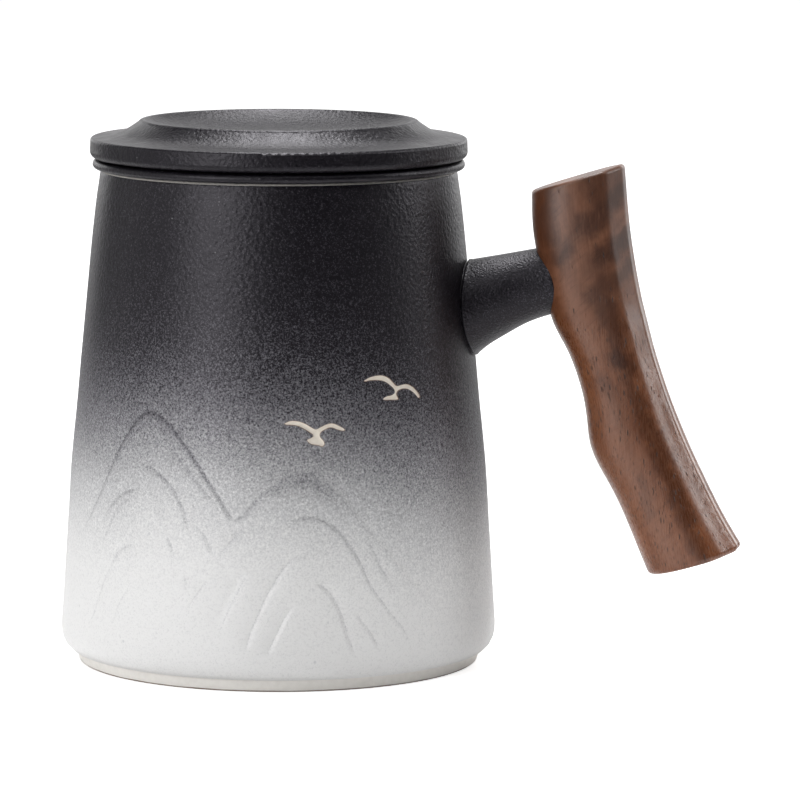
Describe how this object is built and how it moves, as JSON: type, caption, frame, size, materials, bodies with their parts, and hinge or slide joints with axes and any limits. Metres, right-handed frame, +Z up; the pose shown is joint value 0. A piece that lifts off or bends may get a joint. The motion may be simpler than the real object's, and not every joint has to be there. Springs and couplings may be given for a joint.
{
  "type": "lidded tea mug with infuser",
  "caption": "Tapered ceramic tea mug with a lift-off lid, a lift-out strainer basket hung in its mouth, and a carved wooden grip on a side stub.",
  "frame": {"origin": "on the mug's axis, in the plane of the foot ring that stands on the table", "axes": "+Z up along the mug's axis, +X from the axis towards the wooden grip, +Y to the left of the grip when it is seen from the mug"},
  "size_m": [0.1511, 0.0968, 0.1201],
  "materials": {
    "mug_glaze": "matte, black above fading to white below",
    "stub_glaze": "matte black",
    "grip_wood": "oiled walnut, satin",
    "dowel_wood": "bare beech",
    "resin": "cured amber resin",
    "basket_glaze": "matte black",
    "lid_glaze": "matte black"
  },
  "bodies": {
    "mug": {"mug_body": "mug_glaze", "handle_stub": "stub_glaze", "wood_handle": "grip_wood", "handle_dowel": "dowel_wood", "joint_resin": "resin"},
    "infuser": {"infuser_basket": "basket_glaze"},
    "lid": {"lid": "lid_glaze"}
  },
  "joints": [
    {"name": "infuser_lift", "type": "slide", "parent": "mug", "child": "infuser", "axis": [0, 0, 1], "range_m": [0, 0.07]},
    {"name": "lid_lift", "type": "slide", "parent": "infuser", "child": "lid", "axis": [0, 0, 1], "range_m": [0, 0.04]}
  ]
}
